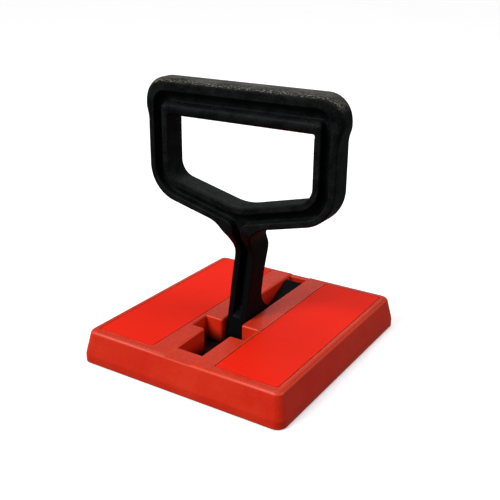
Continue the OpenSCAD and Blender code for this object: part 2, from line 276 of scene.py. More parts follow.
def addRubbingAndSheen(tree, where, z, patches, look):
    # faces that look up at rest are rubbed and dusty above a height, with painted glints on them and a
    # painted highlight along their rounded edges
    rubAndSheen, finish = look["rubbedAndSheen"], plasticFinish
    normal = addNode(tree, "ShaderNodeTexCoord").outputs["Normal"]
    up = addNode(tree, "ShaderNodeSeparateXYZ", {0: normal}).outputs["Z"]
    high = fromMask(tree, z, rubAndSheen["from"], finish["rubSoft"])
    upward = multiply(tree, spanRamp(tree, up, finish["upSpan"], 0.0, 1.0), high)
    cloudNoise = addNoise(tree, where, rubAndSheen["scale"], detail=8, stretch=rubAndSheen["stretch"])
    cloud = spanRamp(tree, cloudNoise, finish["cloudSpan"], rubAndSheen["least"], 1.0)
    patches = addMix(tree, multiply(tree, upward, cloud), patches, rubAndSheen["colour"])
    # painted glints: bright specks on the up-facing faces
    fine = addNoise(tree, where, rubAndSheen["scale"] * finish["glintFineness"], detail=3, stretch=rubAndSheen["stretch"])
    glint = spanRamp(tree, fine, finish["glintSpan"], 0.0, rubAndSheen["glint"])
    patches = addMix(tree, multiply(tree, upward, glint), patches, look["wornAndSheenColour"])
    # painted highlight along the rounded edges that turn from the top to the side
    start, middle, end = finish["lineSpan"]
    line = multiply(tree, addRamp(tree, up, [(start, 0.0), (middle, 1.0), (end, 0.0)]), high)
    cover = spanRamp(tree, fine, finish["glintSpan"], *rubAndSheen["line"])
    return addMix(tree, multiply(tree, line, cover), patches, rubAndSheen["lineColour"])


def addPaintedShade(tree, axes, patches, look):
    # painted shade: dark in each box of (low corner, high corner, softness in height)
    soft = plasticFinish["paintedShadeSoft"]
    for low, high, heightSoft in look["paintedShade"]:
        inside = multiply(tree, spanMask(tree, axes[0], low[0], high[0], soft),
                          spanMask(tree, axes[1], low[1], high[1], soft))
        inside = multiply(tree, inside, spanMask(tree, axes[2], low[2], high[2], heightSoft))
        patches = addMix(tree, inside, patches, look["paintedShadeColour"])
    return patches


def mouldedPlastic(name, look):
    material, tree, shader, where = newMaterial(name, Specular_IOR_Level=look["specular"])
    finish = plasticFinish
    mottle = addNoise(tree, where, look["mottleScale"], detail=4)
    patches = spanRamp(tree, mottle, finish["mottleSpan"], look["colour"], look["paleColour"])
    speckNoise = addNoise(tree, where, look["grainScale"] * finish["speckFineness"], detail=3)
    speck = spanRamp(tree, speckNoise, finish["speckSpan"], 0.0, look.get("speck", 0.0))
    patches = addMix(tree, speck, patches, look["wornAndSheenColour"])
    axes = addNode(tree, "ShaderNodeSeparateXYZ", {0: where}).outputs
    upperShare = 1.0
    if "plainBelow" in look:  # below this height the colour is plain and darker, without the pale mottle and specks, and the edge marks are fainter
        upperShare = fromMask(tree, axes["Z"], look["plainBelow"], finish["plainBelowSoft"])
        patches = addMix(tree, upperShare, look["colour"], patches)
    # dust and rubbing, with painted glints and a painted rim highlight
    if "rubbedAndSheen" in look:
        patches = addRubbingAndSheen(tree, where, axes["Z"], patches, look)
    # edge wear, partly a painted highlight along the rounded edges
    wearNoise = addNoise(tree, where, look["wearScale"], detail=5)
    edgeWearAndSheen = spanRamp(tree, wearNoise, finish["wearSpan"], finish["leastWear"], 1.0)
    edge = multiply(tree, edgeMask(tree, look["edgeWidth"]), edgeWearAndSheen)
    share = multiply(tree, addMath(tree, "ADD", upperShare, finish["lowerEdgeShare"]), look["edgeWearAndSheen"])
    patches = addMix(tree, multiply(tree, edge, share), patches, look["wornAndSheenColour"])
    # painted shade in the channel, round the labels and along the foot
    if "paintedShade" in look:
        patches = addPaintedShade(tree, axes, patches, look)
    tree.links.new(patches, shader.inputs["Base Color"])
    roughNoise = addNoise(tree, where, look["wearScale"] * finish["roughFineness"], detail=3)
    rough = spanRamp(tree, roughNoise, finish["roughSpan"], *look["roughness"])
    tree.links.new(rough, shader.inputs["Roughness"])
    grain = addNoise(tree, where, look["grainScale"], detail=2)
    ripple = addNoise(tree, where, look["rippleScale"], detail=2)
    height = addMath(tree, "ADD", grain, multiply(tree, ripple, look["ripple"]))
    settings = {"Strength": look["bump"], "Distance": finish["bumpDepth"] * mm, "Height": height}
    tree.links.new(addNode(tree, "ShaderNodeBump", settings).outputs["Normal"], shader.inputs["Normal"])
    return material


metalFinish = {"toneSpan": (0.3, 0.7), "edgeWidth": 0.3, "edgeShare": 0.5, "bumpDepth": 0.01}


def finishedMetal(name, look):
    material, tree, shader, where = newMaterial(name, Metallic=1.0)
    finish = metalFinish
    streaks = addNoise(tree, where, look["scale"], detail=4, stretch=look["stretch"])
    tone = spanRamp(tree, streaks, finish["toneSpan"], look["darkColour"], look["colour"])
    edge = multiply(tree, edgeMask(tree, finish["edgeWidth"]), finish["edgeShare"])
    tree.links.new(addMix(tree, edge, tone, look["edgeColour"]), shader.inputs["Base Color"])
    low, high = look["roughness"]
    tree.links.new(spanRamp(tree, streaks, finish["toneSpan"], high, low), shader.inputs["Roughness"])
    settings = {"Strength": look["bump"], "Distance": finish["bumpDepth"] * mm, "Height": streaks}
    tree.links.new(addNode(tree, "ShaderNodeBump", settings).outputs["Normal"], shader.inputs["Normal"])
    return material


# painted shade in the front channel and in the gap round each label, and a painted contact shadow along the
# edge that the base stands on
paintedShadeLook = {"channel": ((-17.6, -55.2, 2), (17.6, -8, 4.5), 8), "foot": ((-99, -99, 0), (99, 99, 0.6), 0.4),
             "labelMargin": 0.5, "labelDrop": 0.2, "labelSoft": 0.2}
paintedShadeBoxes = [paintedShadeLook["channel"]]
margin, drop = paintedShadeLook["labelMargin"], paintedShadeLook["labelDrop"]
for side in ("left", "right"):
    low, high = (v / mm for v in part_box("label_" + side))
    paintedShadeBoxes.append(((low.x - margin, low.y - margin, low.z - drop),
                       (high.x + margin, high.y + margin, high.z - drop), paintedShadeLook["labelSoft"]))
paintedShadeBoxes.append(paintedShadeLook["foot"])
redMoulding = mouldedPlastic("redMoulding", {
    "colour": (0.80, 0.019, 0.003), "paleColour": (0.86, 0.033, 0.008), "wornAndSheenColour": (0.97, 0.17, 0.05),
    "specular": 0.32, "mottleScale": 55, "wearScale": 190, "edgeWidth": 0.9, "edgeWearAndSheen": 0.76, "speck": 0.09,
    "roughness": (0.36, 0.50), "grainScale": 2600, "rippleScale": 160, "ripple": 1.6, "bump": 0.5,
    # dusty tops, with painted glints and a painted highlight along the rounded rims
    "rubbedAndSheen": {"colour": (0.54, 0.026, 0.008), "from": 14, "scale": 760, "stretch": (1, 1, 1), "least": 0.45,
               "glint": 0.2, "line": (0.4, 0.75), "lineColour": (0.98, 0.15, 0.055)},
    "paintedShade": paintedShadeBoxes, "paintedShadeColour": (0.018, 0.005, 0.004),
})
blackMoulding = mouldedPlastic("blackMoulding", {
    "colour": (0.0030, 0.0038, 0.0044), "paleColour": (0.0105, 0.012, 0.0125),
    "wornAndSheenColour": (0.15, 0.14, 0.12),
    "specular": 0.035, "mottleScale": 150, "wearScale": 420, "edgeWidth": 0.6, "edgeWearAndSheen": 0.4, "speck": 0.06,
    "roughness": (0.33, 0.55), "grainScale": 2300, "rippleScale": 260, "ripple": 2.2, "bump": 0.7,
    "plainBelow": 80,
    # rubbed, dusty grip top, with painted glints and a painted highlight along its front edge
    "rubbedAndSheen": {"colour": (0.078, 0.078, 0.071), "from": 142, "scale": 170, "stretch": (0.35, 1, 1),
               "least": 0.15, "glint": 0.6, "line": (0.0, 0.85), "lineColour": (0.36, 0.32, 0.25)},
})
labelFilm = mouldedPlastic("labelFilm", {
    "colour": (0.89, 0.015, 0.003), "paleColour": (0.91, 0.018, 0.004), "wornAndSheenColour": (0.7, 0.03, 0.015),
    "specular": 0.1, "mottleScale": 30, "wearScale": 300, "edgeWidth": 0.25, "edgeWearAndSheen": 0.5,
    "roughness": (0.5, 0.58), "grainScale": 1500, "rippleScale": 90, "ripple": 1.0, "bump": 0.12,
})
trayPlastic = mouldedPlastic("trayPlastic", {
    "colour": (0.62, 0.60, 0.52), "paleColour": (0.70, 0.68, 0.60), "wornAndSheenColour": (0.8, 0.78, 0.7),
    "specular": 0.5, "mottleScale": 80, "wearScale": 300, "edgeWidth": 0.4, "edgeWearAndSheen": 0.4,
    "roughness": (0.4, 0.55), "grainScale": 2000, "rippleScale": 160, "ripple": 1.0, "bump": 0.3,
})
ferrite = mouldedPlastic("ferrite", {
    "colour": (0.028, 0.028, 0.030), "paleColour": (0.050, 0.050, 0.052), "wornAndSheenColour": (0.12, 0.12, 0.12),
    "specular": 0.5, "mottleScale": 200, "wearScale": 700, "edgeWidth": 0.4, "edgeWearAndSheen": 0.7,
    "roughness": (0.5, 0.75), "grainScale": 1800, "rippleScale": 300, "ripple": 2.0, "bump": 0.6,
})
stainless = finishedMetal("stainless", {
    "colour": (0.62, 0.61, 0.59), "darkColour": (0.46, 0.455, 0.44), "edgeColour": (0.75, 0.74, 0.72),
    "scale": 300, "stretch": (9, 0.25, 1), "roughness": (0.22, 0.40), "bump": 0.25,
})
screwSteel = finishedMetal("screwSteel", {
    "colour": (0.50, 0.49, 0.46), "darkColour": (0.33, 0.32, 0.30), "edgeColour": (0.7, 0.69, 0.66),
    "scale": 900, "stretch": (1, 1, 1), "roughness": (0.28, 0.45), "bump": 0.2,
})
packSteel = finishedMetal("packSteel", {
    "colour": (0.38, 0.38, 0.38), "darkColour": (0.24, 0.24, 0.25), "edgeColour": (0.5, 0.5, 0.5),
    "scale": 250, "stretch": (1, 4, 1), "roughness": (0.35, 0.6), "bump": 0.3,
})
groundSteel = finishedMetal("groundSteel", {
    "colour": (0.60, 0.60, 0.61), "darkColour": (0.48, 0.48, 0.49), "edgeColour": (0.8, 0.8, 0.8),
    "scale": 900, "stretch": (6, 1, 1), "roughness": (0.15, 0.28), "bump": 0.15,
})
springSteel = finishedMetal("springSteel", {
    "colour": (0.30, 0.29, 0.28), "darkColour": (0.18, 0.17, 0.17), "edgeColour": (0.5, 0.5, 0.5),
    "scale": 700, "stretch": (1, 1, 1), "roughness": (0.25, 0.45), "bump": 0.2,
})
bronze = finishedMetal("bronze", {
    "colour": (0.58, 0.34, 0.14), "darkColour": (0.40, 0.22, 0.09), "edgeColour": (0.75, 0.5, 0.25),
    "scale": 1300, "stretch": (1, 1, 1), "roughness": (0.3, 0.5), "bump": 0.4,
})
print("materials made")


def place(piece, name, body, slot, material, *nodes):
    # names a finished piece, gives it its material, ties it to its body and hides its CAD nodes
    piece.name = piece.data.name = name
    piece.data.materials.clear()
    piece.data.materials.append(material)
    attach(piece, body)
    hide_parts(*nodes)
    return piece


# ---- housing: the frame's slots and pockets, inside a softly rounded body
housingSize = {
    "clear": 0.05, "bandHeight": 5, "lean": 3.2, "rimRadius": 2.6, "bandRadius": 8, "footRadius": 0.4,
    "rimSteps": 10, "bandSteps": 6, "footSteps": 3,
    "cornerRadius": 5.5, "cornerShrink": 0.45, "cornerSteps": 12,
    "channelHalf": 8.4, "slotHalf": 6.6, "notchHalf": 17.4, "notchFront": -30, "notchRear": -16,
    "shelfEnd": -54.9, "lipStart": 64.3, "shelfTop": 18.1, "floorTop": 3,
    "ribRounding": 1.15, "cornerRounding": 1.6, "leastRounding": 0.2, "notchRounding": 0.3,
    "shelfRounding": 0.9, "roundingSteps": 6, "sharpFrom": 38,
}
cutterSize = {"halfLength": 80, "over": 1, "shelfOver": 0.5, "shelfGap": 1, "floorGap": 0.2, "sideGap": 0.02,
              "cornersEnd": 10, "cornersShrink": 0.01, "mergeDistance": 0.002, "bodyMergeDistance": 0.004}


def loftRings(name, rings):
    # closed shell through rings of (x, y, z) rows that all have the same number of points
    count = len(rings[0])
    last = (len(rings) - 1) * count
    faces = []
    for first in range(0, last, count):
        for i in range(count):
            after = (i + 1) % count
            faces.append([first + i, first + after, first + count + after, first + count + i])
    faces += [list(range(count))[::-1], [last + i for i in range(count)]]
    return newMesh(name, np.vstack(rings) * mm, faces)


def atHeight(outline, z):
    return np.column_stack([outline, np.full(len(outline), z)])


def roundedBody():
    size = housingSize
    low, high = (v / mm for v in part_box("housing"))
    halfW, halfL = high.x - size["clear"], high.y - size["clear"]
    bottom, top = low.z + size["clear"], high.z - size["clear"] / 2
    side = roundedOutline([
        (0, bottom, 0, 0),
        (halfW, bottom, size["footRadius"], size["footSteps"]),
        (halfW, size["bandHeight"], size["bandRadius"], size["bandSteps"]),
        (halfW - size["lean"], top, size["rimRadius"], size["rimSteps"]),
        (0, top, 0, 0)], closed=False)[1:-1]
    rings = []
    for x, z in side:
        y = halfL - halfW + x
        radius = size["cornerRadius"] - size["cornerShrink"] * (halfW - x)
        corners = [(across, along, radius, size["cornerSteps"])
                   for across, along in ((x, -y), (x, y), (-x, y), (-x, -y))]
        rings.append(atHeight(roundedOutline(corners), z))
    return loftRings("roundedBody", rings)


def slotPlan(front, rear, grow):
    # plan of the channel, notch and slot, moved out by grow, with rounded corners
    size = housingSize
    channel, slot, notch = (size[key] + grow for key in ("channelHalf", "slotHalf", "notchHalf"))
    start, end = size["notchFront"] - grow, size["notchRear"] + grow
    inward, steps = size["notchRounding"] + grow, size["roundingSteps"]
    outward = max(size["cornerRounding"] - grow, size["leastRounding"])
    half = [(channel, front, 0, 0), (channel, start, outward, steps), (notch, start, inward, steps),
            (notch, end, inward, steps), (slot, end, outward, steps), (slot, rear, 0, 0)]
    return roundedOutline(half + [(-x, y, radius, n) for x, y, radius, n in half[::-1]])


def slotRounding():
    # the sliver that rounds the ribs' inner top edges
    radius, top, reach = housingSize["ribRounding"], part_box("housing")[1].z / mm, cutterSize["halfLength"]
    rings = []
    for a in np.linspace(0, math.pi / 2, housingSize["roundingSteps"] + 1):
        plan = slotPlan(-reach, reach, radius * (1 - math.cos(a)))
        rings.append(atHeight(plan, top - radius + radius * math.sin(a)))
    rings.append(rings[-1] + [0, 0, cutterSize["over"]])
    return loftRings("slotRounding", rings)


def cornerRounding():
    # takes the upright corners of the ribs off inside the channel and the notch
    size, cut = housingSize, cutterSize
    outline = slotPlan(size["shelfEnd"] + cut["shelfGap"], cut["cornersEnd"], -cut["cornersShrink"])
    heights = (size["floorTop"] + cut["floorGap"], size["shelfTop"] + cut["shelfOver"])
    return loftRings("cornerRounding", [atHeight(outline, z) for z in heights])


def edgeRounding(y, halfWidth, way):
    # rounds the edge where the shelf or the rear lip drops into the slot; way is +1 when it drops to the rear
    radius, z, over = housingSize["shelfRounding"], housingSize["shelfTop"], cutterSize["shelfOver"]
    angles = np.linspace(0, math.pi / 2, housingSize["roundingSteps"] + 1)
    arc = [(y - way * radius * (1 - math.sin(a)), z - radius * (1 - math.cos(a))) for a in angles]
    corners = [(y - way * radius, z + over), *arc, (y + way * over, z - radius), (y + way * over, z + over)]
    profile = np.array(corners)
    ends = [np.column_stack([np.full(len(profile), x), profile]) for x in (-halfWidth, halfWidth)]
    return loftRings("edgeRounding", ends)


def makeHousing():
    size, cut = housingSize, cutterSize
    body = roundedBody()
    cutters = [slotRounding(), cornerRounding(),
               edgeRounding(size["shelfEnd"], size["channelHalf"] - cut["sideGap"], 1),
               edgeRounding(size["lipStart"], size["slotHalf"] - cut["sideGap"], -1)]
    for cutter in cutters:
        combine(body, tidyMesh(cutter, cut["mergeDistance"]), "DIFFERENCE")
    piece = combine(cadCopy("housing", "housingWork"), body, "INTERSECT")
    return shadeSmooth(tidyMesh(piece, cut["bodyMergeDistance"]), size["sharpFrom"])


place(makeHousing(), "housingShell", "base", "red_moulding", redMoulding, "housing")
print("housing made")


# ---- labels and the working face plate
flatPieceSize = {"labelRounding": 0.12, "plateRounding": 0.15, "fromAngle": 60, "segments": 2,
                 "sharpFrom": 38}


def roundedCopy(node, name, width):
    size = flatPieceSize
    piece = bevelEdges(cadCopy(node, name), width, size["fromAngle"], size["segments"])
    return shadeSmooth(piece, size["sharpFrom"])


for side in ("left", "right"):
    label = roundedCopy("label_" + side, "labelWork", flatPieceSize["labelRounding"])
    place(label, "labelPanel" + side.capitalize(), "base", "label_film", labelFilm, "label_" + side)
plate = roundedCopy("face_plate", "plateWork", flatPieceSize["plateRounding"])
place(plate, "workingFacePlate", "base", "stainless", stainless, "face_plate")
print("labels and plate made")


# ---- screws: one Geometry Nodes group, laid on a point for each screw
screwSides = {"head": 40, "shank": 24, "drive": 6, "sharpFrom": 30}
screwSockets = ("Head Radius", "Neck Radius", "Head Height", "Shank Radius", "Length", "Drive Radius",
                "Drive Depth")


def screwGroup(material):
    group = bpy.data.node_groups.new("screwSet", "GeometryNodeTree")
    face = group.interface
    face.new_socket("Geometry", in_out="INPUT", socket_type="NodeSocketGeometry")
    for name in screwSockets:
        face.new_socket(name, in_out="INPUT", socket_type="NodeSocketFloat")
    face.new_socket("Geometry", in_out="OUTPUT", socket_type="NodeSocketGeometry")
    values = addNode(group, "NodeGroupInput").outputs

    def lift(height, geometry):
        offset = addNode(group, "ShaderNodeCombineXYZ", {"Z": height}).outputs[0]
        moved = {"Geometry": geometry, "Translation": offset}
        return addNode(group, "GeometryNodeTransform", moved).outputs[0]

    def half(value):
        return addMath(group, "MULTIPLY", value, 0.5)

    head = addNode(group, "GeometryNodeMeshCone", {
        "Vertices": screwSides["head"], "Radius Bottom": values["Head Radius"],
        "Radius Top": values["Neck Radius"], "Depth": values["Head Height"]}).outputs["Mesh"]
    shankLength = addMath(group, "SUBTRACT", values["Length"], values["Head Height"])
    shank = addNode(group, "GeometryNodeMeshCylinder", {
        "Vertices": screwSides["shank"], "Radius": values["Shank Radius"],
        "Depth": shankLength}).outputs["Mesh"]
    shankMiddle = addMath(group, "ADD", values["Head Height"], half(shankLength))
    driveLength = addMath(group, "MULTIPLY", values["Drive Depth"], 2.0)
    drive = addNode(group, "GeometryNodeMeshCylinder", {
        "Vertices": screwSides["drive"], "Radius": values["Drive Radius"],
        "Depth": driveLength}).outputs["Mesh"]
    sunk = addNode(group, "GeometryNodeMeshBoolean", operation="DIFFERENCE", solver="EXACT")
    group.links.new(head, sunk.inputs[0])
    group.links.new(drive, sunk.inputs[1])
    both = addNode(group, "GeometryNodeJoinGeometry")
    group.links.new(lift(shankMiddle, shank), both.inputs[0])
    group.links.new(sunk.outputs[0], both.inputs[0])
    points = addNode(group, "GeometryNodeMeshToPoints", {"Mesh": values["Geometry"]}).outputs[0]
    instances = {"Points": points, "Instance": both.outputs[0]}
    spread = addNode(group, "GeometryNodeInstanceOnPoints", instances).outputs[0]
    real = addNode(group, "GeometryNodeRealizeInstances", {"Geometry": spread}).outputs[0]
    coloured = addNode(group, "GeometryNodeSetMaterial", {"Geometry": real, "Material": material}).outputs[0]
    addNode(group, "NodeGroupOutput", {"Geometry": coloured})
    return group


faceScrews = {"edgeX": 60.3, "edgeY": 45.12, "besideX": 14, "besideFrontY": -42.45, "besideRearY": 49.3,
              "start": 0.05, "Head Radius": 2.35, "Neck Radius": 1.25, "Head Height": 0.9,
              "Shank Radius": 1.25, "Length": 8.9, "Drive Radius": 1.15, "Drive Depth": 0.6}
capScrews = {"capX": 13.9, "pitch": 6.3, "pivotY": -4.5, "start": 1.2,
             "Head Radius": 2.2, "Neck Radius": 2.1, "Head Height": 1.7, "Shank Radius": 1.25, "Length": 11.9,
             "Drive Radius": 1.2, "Drive Depth": 1.0}


def makeScrews(name, spots, sizes, group):
    piece = newMesh(name + "Work", [(x * mm, y * mm, sizes["start"] * mm) for x, y in spots], [])
    modifier = piece.modifiers.new("screws", "NODES")
    modifier.node_group = group
    for item in group.interface.items_tree:
        if item.in_out == "INPUT" and item.name in sizes:
            modifier[item.identifier] = sizes[item.name] * mm
    applyModifiers(piece)
    return shadeSmooth(piece, screwSides["sharpFrom"])


screws = screwGroup(screwSteel)
spots = [(s * faceScrews["edgeX"], k * faceScrews["edgeY"]) for s in (-1, 1) for k in (-1, 0, 1)]
spots += [(s * faceScrews["besideX"], faceScrews[y])
          for s in (-1, 1) for y in ("besideFrontY", "besideRearY")]
piece = makeScrews("faceScrew", spots, faceScrews, screws)
place(piece, "faceScrewSet", "base", "screw_steel", screwSteel, "face_screws")
spots = [(s * capScrews["capX"], capScrews["pivotY"] + k * capScrews["pitch"])
         for s in (-1, 1) for k in (-1, 1)]
piece = makeScrews("capScrew", spots, capScrews, screws)
place(piece, "capScrewSet", "base", "screw_steel", screwSteel, "cap_screws")
print("screws made")


# ---- handle: the D and its leg in front view, given their depth by the side view, then the foot and tail
handleSize = {
    "top": 153, "halfWidth": 59.0, "gripHalf": 61.4, "bottom": 72.5, "rise": math.radians(14), "band": 13.15,
    "flange": 3.9, "gripHeight": 20.8, "gripFlange": 7.3, "front": -11.7, "rear": 2.6, "grooveDepth": 5.15,
    "bulgeLow": 130, "bulgeHigh": 136.3, "bulgeLowRadius": 20, "bulgeHighRadius": 15,
    "grooveBulgeHigh": 135.5, "windowBulge": (125, 128.5), "topRadius": 13.5, "lowRadius": 21,
    "windowRadius": 30, "windowLowExtra": 2, "grooveTopRadius": 8.2,
    "barTopRadius": 2.5, "windowTopRadius": 2, "straightRadius": 0.7,
    "legHalf": 6.2, "neckHalf": 6.4, "widenOver": 12, "flareRadius": 16, "flareTurn": math.radians(38),
    "grooveHalf": 2.5, "throatRadius": 5, "legLow": 28, "legStations": 46,
    "frontGrooveEnd": (20.4, 24.2), "rearGrooveEnd": (31.3, 35.5), "grooveEndY": 20,
    "edgeRadius": 0.7, "floorRadius": 0.9, "barRadius": 0.9, "gripRoundness": 2.55, "gripRoundingOver": 2.5,
    "roundingHeights": (60, 78, 126, 141), "roundings": (0.8, 1.4, 1.4, 4.0),
    "pivotY": -4.5, "pivotZ": 9.5, "footRadius": 8.5, "lean": math.radians(12.5), "neck": 58.5, "sole": 1,
    "over": 160, "fan": (32, 28), "fanCuts": 70, "tailCuts": 30, "tailGap": 0.03,
    "boreRadius": 4.5, "boreLength": 20, "boreSides": 64, "mergeDistance": 0.002, "sharpFrom": 42,
}
arcSteps = {"flare": 20, "low": 20, "bulge": 6, "top": 18, "throat": 10, "apex": 12}
stationRange = {"top": 90, "count": 400, "startY": -100}
filletAngles = np.linspace(0, math.pi / 2, 6)
filletSteps = list(zip(1 - np.cos(filletAngles), 1 - np.sin(filletAngles)))


def legFront(z):
    size = handleSize
    start = size["pivotY"] - size["footRadius"] / math.cos(size["lean"])
    return start + (z - size["pivotZ"]) * math.tan(size["lean"])


def lowerEdge(x, up):
    # height of a line along the D's lower edge, this far into the band
    return handleSize["bottom"] + up / math.cos(handleSize["rise"]) + x * math.tan(handleSize["rise"])


def makeSideOutline():
    # the handle from the side, from the top down its front, round the foot and tail and up its rear
    front, rear, neck, sole, over = (handleSize[key] for key in ("front", "rear", "neck", "sole", "over"))
    corners = {
        "frontTop": (front, over, 0, 0), "frontThroat": (front, 71.5, 5, 10),
        "frontNeck": (legFront(neck), neck, 8, 10), "toe": (legFront(sole), sole, 8.5, 24),
        "tailUnder": (34, sole, 12, 10), "tailTip": (59, 12.3, 1.5, 6), "tailTop": (59.5, 18.8, 1.5, 6),
        "tailRoot": (35, 7.6, 8, 10), "heel": (6, 25.2, 12, 16), "calf": (8.6, 42, 40, 10),
        "rearNeck": (14.9, 60.5, 8, 12), "rearThroat": (rear, 76.6, 5, 10), "rearTop": (rear, over, 0, 0),
    }
    return roundedOutline(list(corners.values()))


sideOutline = makeSideOutline()


def cutOutline(origin, direction):
    # where a line from origin first and last meets the side outline
    origin, direction = np.array(origin, float), np.array(direction, float)
    start, end = sideOutline, np.roll(sideOutline, -1, 0)
    along, across = end - start, np.array([-direction[1], direction[0]])
    a, b = (start - origin) @ across, (end - origin) @ across
    crossed = np.nonzero((a > 0) != (b > 0))[0]
    share = (a[crossed] / (a[crossed] - b[crossed]))[:, None]
    hits = (start[crossed] + along[crossed] * share - origin) @ direction
    hits = hits[hits > 0]
    return origin + direction * hits.min(), origin + direction * hits.max()


stationHeights = np.linspace(handleSize["legLow"], stationRange["top"], stationRange["count"])
stationCuts = [cutOutline((stationRange["startY"], z), (1, 0)) for z in stationHeights]
frontAt, rearAt = (np.array([cut[k][0] for cut in stationCuts]) for k in (0, 1))


def mirrored(half):
    return np.vstack([half, half[::-1] * [-1, 1]])


def frontFlange(point, normal, edge, edgeNormal, outRadius, grooveDepth):
    # (across, up, depth) rows: the rounded outer edge at point, then the groove's edge and floor at edge
    radius, floorRadius = handleSize["edgeRadius"], handleSize["floorRadius"]
    inner, floor = np.minimum(radius, grooveDepth / 2), np.minimum(floorRadius, grooveDepth / 2)
    rows = [np.append(point + normal * outRadius * c, outRadius * r) for c, r in filletSteps]
    rows += [np.append(edge - edgeNormal * radius * r, inner * c) for c, r in filletSteps]
    rows += [np.append(edge + edgeNormal * floorRadius * c, grooveDepth - floor * r) for c, r in filletSteps]
    return np.array(rows)


def legAndBand():
    # right half of the outer edge and of the groove's outer edge, up from the leg to the middle of the top
    size, steps = handleSize, arcSteps
    low, neckTop = size["legLow"], lowerEdge(size["neckHalf"], 0)
    legTop = neckTop - size["flareRadius"] * math.tan(size["flareTurn"])
    heights = np.linspace(low, legTop, size["legStations"])[:-1]
    widening = smooth(low, low + size["widenOver"], heights)
    legSide = size["legHalf"] + (size["neckHalf"] - size["legHalf"]) * widening
    grooveW, grooveTop = size["halfWidth"] - size["flange"], size["top"] - size["gripFlange"]
    outer = roundedOutline([
        (size["neckHalf"], low, 0, 0),
        (size["neckHalf"], neckTop, size["flareRadius"], steps["flare"]),
        (size["halfWidth"], lowerEdge(size["halfWidth"], 0), size["lowRadius"], steps["low"]),
        (size["halfWidth"], size["bulgeLow"], size["bulgeLowRadius"], steps["bulge"]),
        (size["gripHalf"], size["bulgeHigh"], size["bulgeHighRadius"], steps["bulge"]),
        (size["gripHalf"], size["top"], size["topRadius"], steps["top"]),
        (0, size["top"], 0, 0)], closed=False)[1:-1]
    throatTop = lowerEdge(size["grooveHalf"], size["flange"])
    groove = roundedOutline([
        (size["grooveHalf"], low, 0, 0),
        (size["grooveHalf"], throatTop, size["throatRadius"], steps["throat"]),
        (grooveW, lowerEdge(grooveW, size["flange"]), size["lowRadius"] - size["flange"], steps["low"]),
        (grooveW, size["bulgeLow"], size["straightRadius"], steps["bulge"]),
        (grooveW, size["grooveBulgeHigh"], size["straightRadius"], steps["bulge"]),
        (grooveW, grooveTop, size["grooveTopRadius"], steps["top"]),
        (0, grooveTop, 0, 0)], closed=False)[1:-1]
    extra = steps["flare"] - steps["throat"]
    throatUp = np.linspace(heights[-1] + (heights[1] - heights[0]), groove[0][1], extra + 1)[:-1]
    grooveUp = np.concatenate([heights, throatUp])
    outer = np.vstack([np.stack([legSide, heights], 1), outer])
    groove = np.vstack([np.stack([np.full(len(grooveUp), size["grooveHalf"]), grooveUp], 1), groove])
    return mirrored(outer), mirrored(groove), len(heights)


def ringPath(width, up, top, arc, lowRadius, bulges, topRadius):
    # closed line round the window: its upper part, which faces the groove, then back along its lowest arc
    steps, straight = arcSteps, handleSize["straightRadius"]
    left, middle, right = ((x, lowerEdge(abs(x), up)) for x in (-width, 0, width))
    lowest = cornerArc(left, middle, right, arc, steps["apex"])[steps["apex"] // 2 + 1:]
    rest = roundedOutline([
        (*middle, 0, 0), (*right, lowRadius, steps["low"]), (width, bulges[0], straight, steps["bulge"]),
        (width, bulges[1], straight, steps["bulge"]), (width, top, topRadius, steps["top"]),
        (0, top, 0, 0)], closed=False)[1:-1]
    apex = [[0, middle[1] + arc / math.cos(handleSize["rise"]) - arc]]
    upper = mirrored(np.vstack([lowest[-1:], rest]))
    back = np.vstack([lowest[:-1][::-1] * [-1, 1], apex, lowest[:-1]])
    return np.vstack([upper, back]), len(upper)


def barPaths():
    # the bar's edge beside the groove, and the window's edge
    size = handleSize
    windowW, windowTop = size["halfWidth"] - size["band"], size["top"] - size["gripHeight"]
    lowArc = size["lowRadius"] - size["band"] + size["windowLowExtra"]
    bulges = (size["bulgeLow"], size["grooveBulgeHigh"])
    flange = size["flange"]
    inner, upperCount = ringPath(
        windowW + flange, size["band"] - flange, windowTop + size["gripFlange"],
        size["windowRadius"] + flange, lowArc + flange, bulges, size["barTopRadius"])
    window, _ = ringPath(windowW, size["band"], windowTop, size["windowRadius"], lowArc, size["windowBulge"],
                         size["windowTopRadius"])
    return inner, window, upperCount


def addGrid(shell, grid, closeRows=False, closeColumns=False):
    vertices, faces = shell
    rows, columns = grid.shape[:2]
    first = len(vertices)
    vertices.extend(grid.reshape(-1, 3) * mm)
    for i in range(rows if closeRows else rows - 1):
        for j in range(columns if closeColumns else columns - 1):
            k, m = (i + 1) % rows, (j + 1) % columns
            faces.append([first + i * columns + j, first + i * columns + m,
                          first + k * columns + m, first + k * columns + j])


def addFace(shell, points):
    vertices, faces = shell
    faces.append(list(range(len(vertices), len(vertices) + len(points))))
    vertices.extend(np.array(points) * mm)


def withDepth(grid, rear):
    # (across, up, depth) to (x, y, z) under the front or rear surface
    up = grid[..., 1]
    face = np.interp(up, stationHeights, rearAt if rear else frontAt)
    y = face - grid[..., 2] if rear else face + grid[..., 2]
    return np.stack([grid[..., 0], y, up], -1)


def barRow(edge, edgeNormal, window, windowNormal, radius):
    floor, depth = handleSize["floorRadius"], handleSize["grooveDepth"]
    row = [np.append(edge - edgeNormal * floor * r, depth - floor * c) for c, r in filletSteps]
    row += [np.append(edge + edgeNormal * radius * c, radius * r) for c, r in filletSteps]
    row += [np.append(window - windowNormal * radius * r, radius * c) for c, r in filletSteps]
    return row


